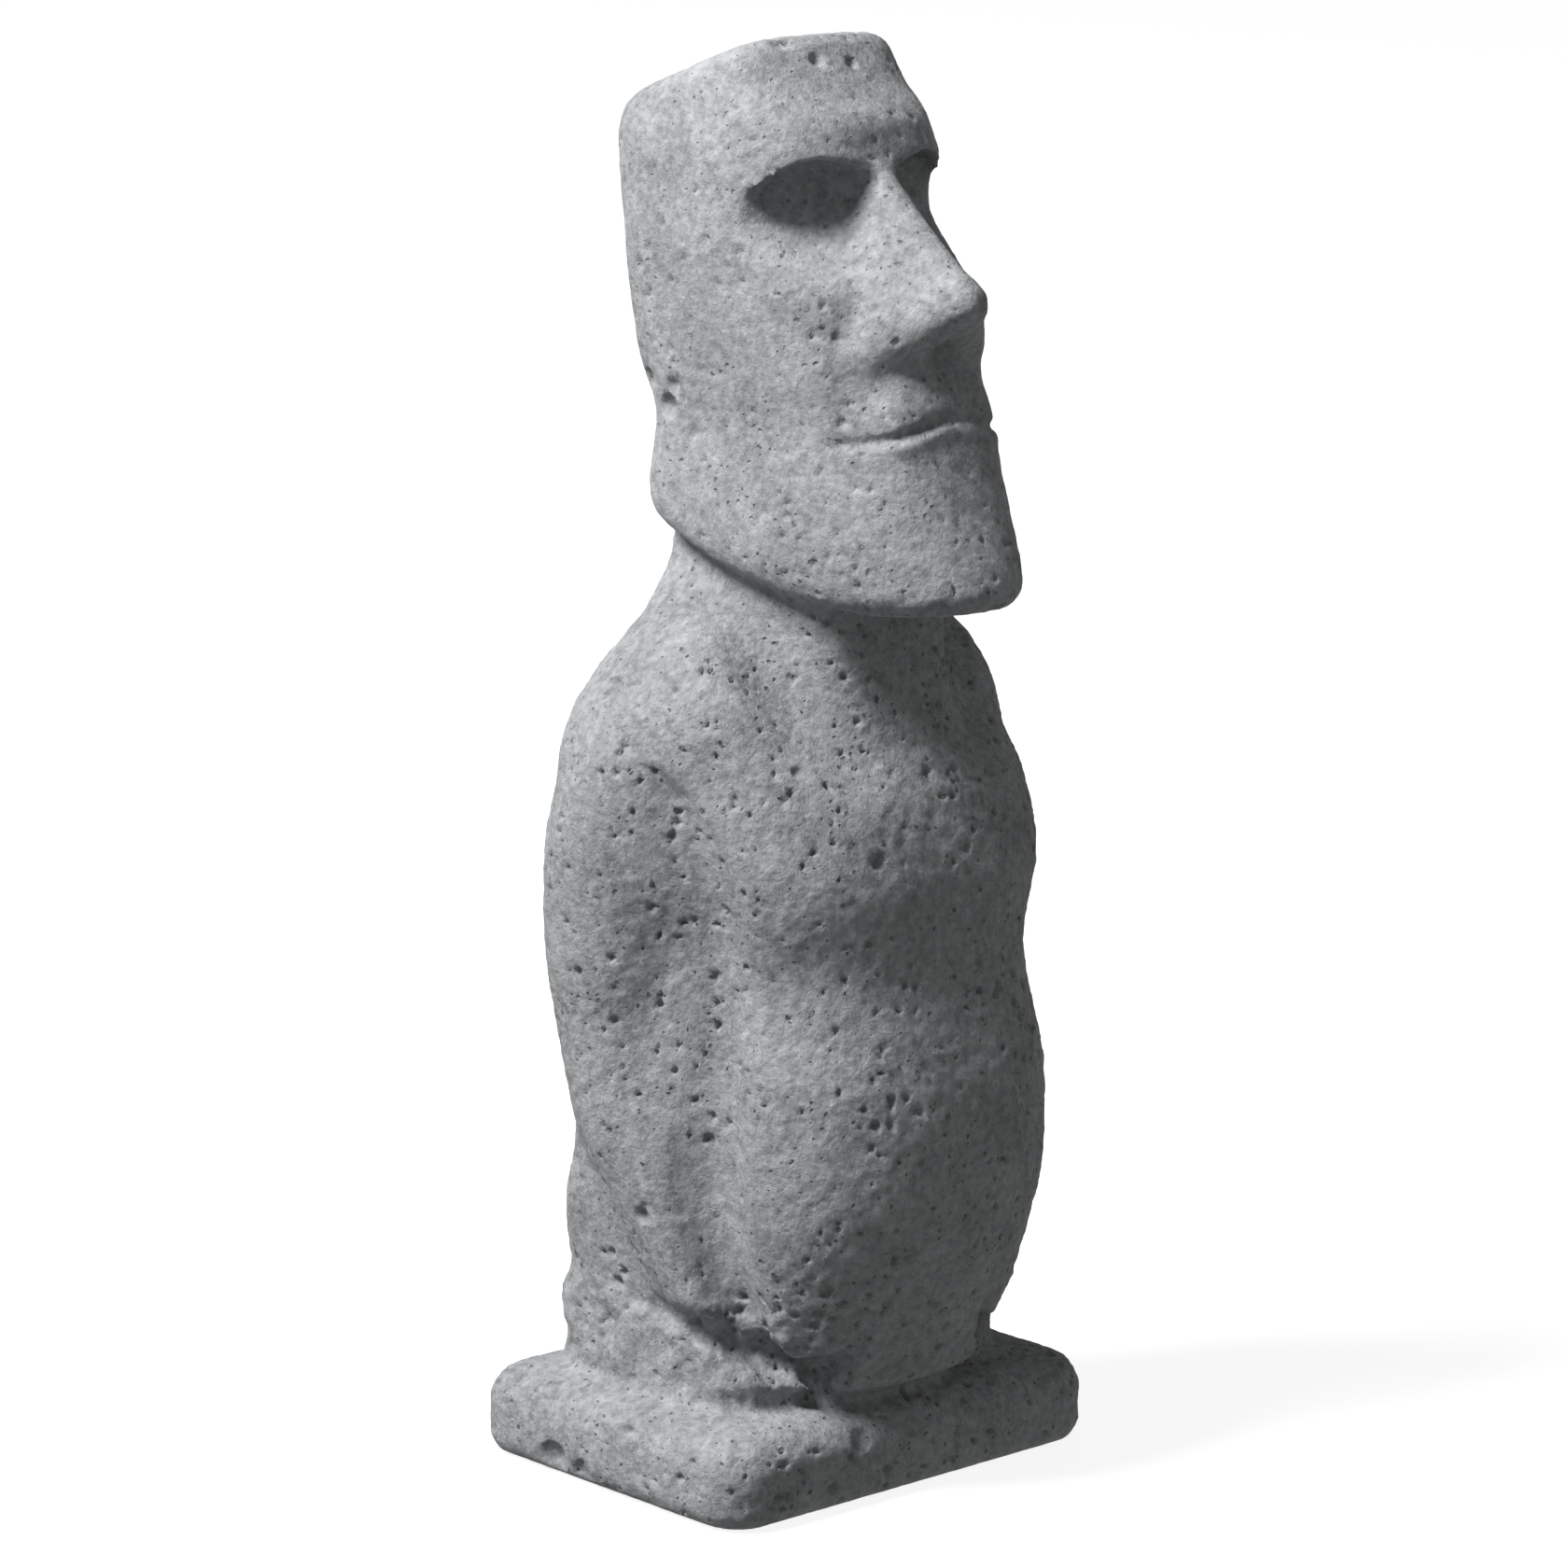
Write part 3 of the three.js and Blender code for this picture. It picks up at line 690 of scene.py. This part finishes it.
# The plinth's underside is level, so that the statue stands on it.
LEVEL_BLEND = 0.0015
off_floor = maths(skin, "DIVIDE", split.outputs[2], LEVEL_BLEND)
off_floor = maths(skin, "MINIMUM", off_floor, 1)
relief = maths(skin, "MULTIPLY", relief, off_floor)
normal = add_node(skin, "GeometryNodeInputNormal").outputs[0]
moved = add_node(skin, "GeometryNodeSetPosition")
feed(skin, moved, "Geometry", finer.outputs[0])
feed(skin, moved, "Offset", vector_maths(skin, "SCALE", normal, relief))
smooth = add_node(skin, "GeometryNodeSetShadeSmooth")
feed(skin, smooth, "Geometry", moved.outputs[0])
realized = add_node(skin, "GeometryNodeRealizeInstances")
feed(skin, realized, "Geometry", smooth.outputs[0])
finished = add_node(skin, "GeometryNodeSetMaterial")
feed(skin, finished, "Geometry", realized.outputs[0])
feed(skin, finished, "Material", entry["Material"])
result = add_node(skin, "NodeGroupOutput")
feed(skin, result, "Geometry", finished.outputs[0])


# Cast concrete: dry grey with paler and darker clouds and specks, with painted shade inside the
# finest air holes, and with a rough sandy surface that is smoother on the head.
DARK_CEMENT = (0.195, 0.203, 0.21, 1)
PALE_CEMENT = (0.445, 0.456, 0.467, 1)
PORE_PAINTED_SHADE = (0.07, 0.072, 0.072, 1)
CLOUD_SIZE = 0.009
SPECK_SIZE = 0.0014
CLOUD_SHARE = 0.3
PORE_SPACING = 0.0014
PORE_SIZE = 0.0007
SAND_SIZE = 0.0016
SAND_GRAIN = 0.0008
SAND_HEIGHT = 0.00058
GRAIN_DIP = 0.2
PORE_DIP = 0.8
PORE_PAINTED_SHADE_STRENGTH = 0.85
concrete = bpy.data.materials.new("cast concrete")
concrete.use_nodes = True
tree = concrete.node_tree
shader = tree.nodes["Principled BSDF"]
place = add_node(tree, "ShaderNodeTexCoord").outputs["Object"]
clouds = noise(tree, place, CLOUD_SIZE, 3.0)
specks = noise(tree, place, SPECK_SIZE, 4.0, 0.7)
clouds = maths(tree, "MULTIPLY", clouds, CLOUD_SHARE)
specks = maths(tree, "MULTIPLY", specks, 1 - CLOUD_SHARE)
tone = maths(tree, "ADD", clouds, specks)
ramp = add_node(tree, "ShaderNodeValToRGB")
feed(tree, ramp, "Fac", tone)
ramp.color_ramp.elements[0].position = 0.34
ramp.color_ramp.elements[0].color = DARK_CEMENT
ramp.color_ramp.elements[1].position = 0.66
ramp.color_ramp.elements[1].color = PALE_CEMENT
pores = air_holes(tree, place, PORE_SPACING, PORE_SIZE)
split = add_node(tree, "ShaderNodeSeparateXYZ")
feed(tree, split, 0, place)
body = on_body(tree, split.outputs[2])
# Painted shade: the colour is mixed toward near black inside the finest air holes, more on the body
# than on the head.
painted_pore_shade = maths(tree, "MULTIPLY", maths(tree, "POWER", pores, 0.5), PORE_PAINTED_SHADE_STRENGTH)
painted_pore_shade = maths(tree, "MULTIPLY", painted_pore_shade, maths(tree, "MULTIPLY_ADD", body, 0.4, 0.6))
colour_with_painted_shade = add_node(tree, "ShaderNodeMix", data_type="RGBA", blend_type="MIX")
feed(tree, colour_with_painted_shade, "Factor", painted_pore_shade)
tree.links.new(ramp.outputs["Color"], colour_with_painted_shade.inputs[6])
colour_with_painted_shade.inputs[7].default_value = PORE_PAINTED_SHADE
tree.links.new(colour_with_painted_shade.outputs[2], shader.inputs["Base Color"])
shader.inputs["Roughness"].default_value = 0.93
shader.inputs["Specular IOR Level"].default_value = 0.25
sand = noise(tree, place, SAND_SIZE, 6.0, 0.8)
grains = add_node(tree, "ShaderNodeTexVoronoi", feature="F1")
feed(tree, grains, "Vector", place)
feed(tree, grains, "Scale", 1 / SAND_GRAIN)
between = maths(tree, "MULTIPLY", grains.outputs["Distance"], GRAIN_DIP)
surface = maths(tree, "SUBTRACT", sand, between)
surface = maths(tree, "SUBTRACT", surface, maths(tree, "MULTIPLY", pores, PORE_DIP))
surface = maths(tree, "MULTIPLY", surface, maths(tree, "MULTIPLY_ADD", body, 0.28, 0.64))
bump = add_node(tree, "ShaderNodeBump")
bump.inputs["Strength"].default_value = 1
bump.inputs["Distance"].default_value = SAND_HEIGHT
feed(tree, bump, "Height", surface)
tree.links.new(bump.outputs[0], shader.inputs["Normal"])

# The skin is laid on, and the mesh is thinned where it is flat.
TRIANGLES = 192000
modifier = statue.modifiers.new("skin", "NODES")
modifier.node_group = skin
for item in skin.interface.items_tree:
    if item.in_out == "INPUT" and item.name in SKIN_INPUTS:
        modifier[item.identifier] = SKIN_INPUTS[item.name]
    if item.in_out == "INPUT" and item.name == "Material":
        modifier[item.identifier] = concrete
triangles_before = 8 * len(faces)
thinner = statue.modifiers.new("thinner", "DECIMATE")
thinner.ratio = TRIANGLES / triangles_before
depsgraph = bpy.context.evaluated_depsgraph_get()
plain = bpy.data.meshes.new_from_object(statue.evaluated_get(depsgraph))
statue.modifiers.clear()
statue.data = plain
bpy.data.meshes.remove(mesh)
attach(statue, "root")
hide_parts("statue")


# The camera stands before the figure's right shoulder and looks a little down, with a long lens.
AZIMUTH = math.radians(45.1)
PITCH = math.radians(12.9)
ROLL = math.radians(1.92)
DISTANCE = 0.948
EYE_HEIGHT = 0.3128
ASIDE = -0.0033
LENS = 160.7
SENSOR = 36
forward = np.array([
    math.sin(AZIMUTH) * math.cos(PITCH),
    math.cos(AZIMUTH) * math.cos(PITCH),
    -math.sin(PITCH),
])
right = np.array([math.cos(AZIMUTH), -math.sin(AZIMUTH), 0])
up = np.cross(right, forward)
eye = np.array([-math.sin(AZIMUTH) * DISTANCE, -math.cos(AZIMUTH) * DISTANCE, EYE_HEIGHT])
eye = eye + right * ASIDE
image_right = right * math.cos(ROLL) + up * math.sin(ROLL)
image_up = up * math.cos(ROLL) - right * math.sin(ROLL)
camera_data = bpy.data.cameras.new("camera")
camera_data.lens = LENS
camera_data.sensor_width = SENSOR
camera = bpy.data.objects.new("camera", camera_data)
camera.matrix_world = Matrix((
    (*image_right, 0), (*image_up, 0), (*-forward, 0), (*eye, 1),
)).transposed()
bpy.context.scene.collection.objects.link(camera)
bpy.context.scene.camera = camera


# A soft key light from the figure's right, above and a little behind it, and a dim even sky.
def soft_light(name, aim, direction, distance, size, power):
    data = bpy.data.lights.new(name, "AREA")
    data.shape = "DISK"
    data.size = size
    data.energy = power
    light = bpy.data.objects.new(name, data)
    light.location = np.array(aim) + np.array(direction) * distance
    light.rotation_euler = Vector(direction).to_track_quat("Z", "Y").to_euler()
    bpy.context.scene.collection.objects.link(light)


KEY_AIM = (0, 0, 0.1)
KEY_DIRECTION = np.array([-0.64, 0.2, 0.84])
KEY_DISTANCE = 1.4
KEY_SIZE = 0.5
KEY_POWER = 36
SKY_STRENGTH = 0.2
key_toward = KEY_DIRECTION / np.linalg.norm(KEY_DIRECTION)
soft_light("key", KEY_AIM, key_toward, KEY_DISTANCE, KEY_SIZE, KEY_POWER)
world = bpy.data.worlds.new("sky")
world.use_nodes = True
background = world.node_tree.nodes["Background"]
background.inputs["Color"].default_value = (1, 1, 1, 1)
background.inputs["Strength"].default_value = SKY_STRENGTH
bpy.context.scene.world = world
bpy.context.scene.view_settings.view_transform = "Standard"


# The floor is plain and pale, wide enough to fill the picture behind the statue.
FLOOR_HALF = 6
FLOOR_GREY = 0.3
FLOOR_GLOW = 0.87
floor_mesh = bpy.data.meshes.new("floor")
corners = [
    (-FLOOR_HALF, -FLOOR_HALF, 0), (FLOOR_HALF, -FLOOR_HALF, 0),
    (FLOOR_HALF, FLOOR_HALF, 0), (-FLOOR_HALF, FLOOR_HALF, 0),
]
floor_mesh.from_pydata(corners, [], [(0, 1, 2, 3)])
floor = bpy.data.objects.new("floor", floor_mesh)
paper = bpy.data.materials.new("pale paper")
paper.use_nodes = True
paper_shader = paper.node_tree.nodes["Principled BSDF"]
paper_shader.inputs["Base Color"].default_value = (FLOOR_GREY, FLOOR_GREY, FLOOR_GREY, 1)
paper_shader.inputs["Roughness"].default_value = 1
paper_shader.inputs["Emission Color"].default_value = (1, 1, 1, 1)
paper_shader.inputs["Emission Strength"].default_value = FLOOR_GLOW
floor.data.materials.append(paper)
floor.visible_diffuse = False
bpy.context.scene.collection.objects.link(floor)
